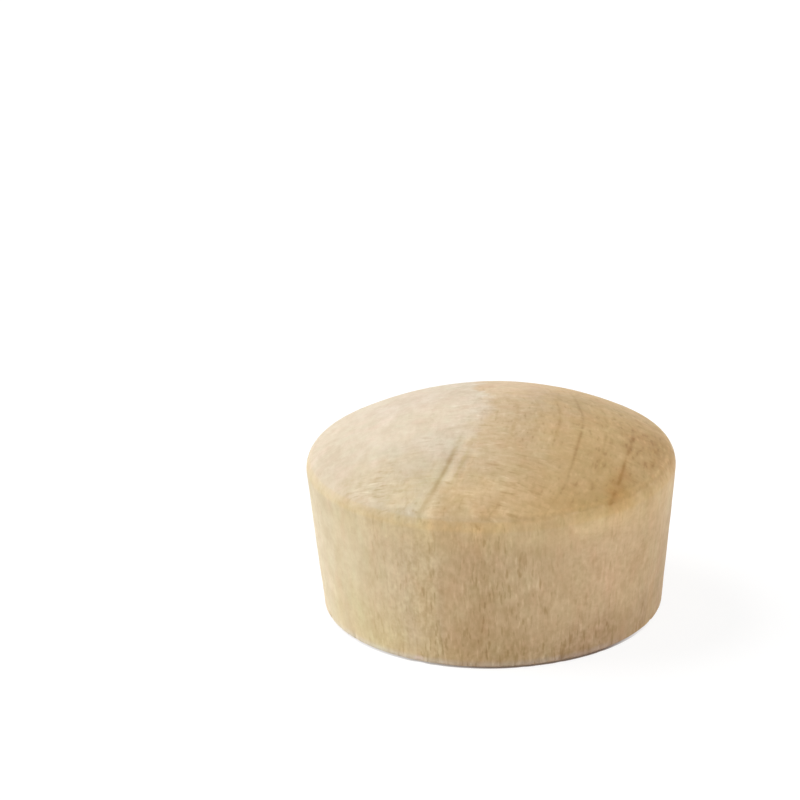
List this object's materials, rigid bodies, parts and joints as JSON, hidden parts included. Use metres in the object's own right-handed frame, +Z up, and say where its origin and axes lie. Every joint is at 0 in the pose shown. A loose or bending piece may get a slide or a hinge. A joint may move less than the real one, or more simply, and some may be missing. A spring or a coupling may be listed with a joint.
{
  "type": "wooden button plug",
  "caption": "Turned wooden button plug with a tapered side, rounded rim and low dome, for filling and covering a drilled screw hole.",
  "frame": {"origin": "centre of the small flat end, on the surface that the plug stands on", "axes": "+Z up along the axis of turning, from the flat end to the top of the dome, which is also the direction of the grain; X and Y lie across the grain"},
  "size_m": [0.0132, 0.0132, 0.0075],
  "materials": {
    "pale_wood": "bare, sanded"
  },
  "bodies": {
    "root": {"plug": "pale_wood"}
  },
  "joints": []
}
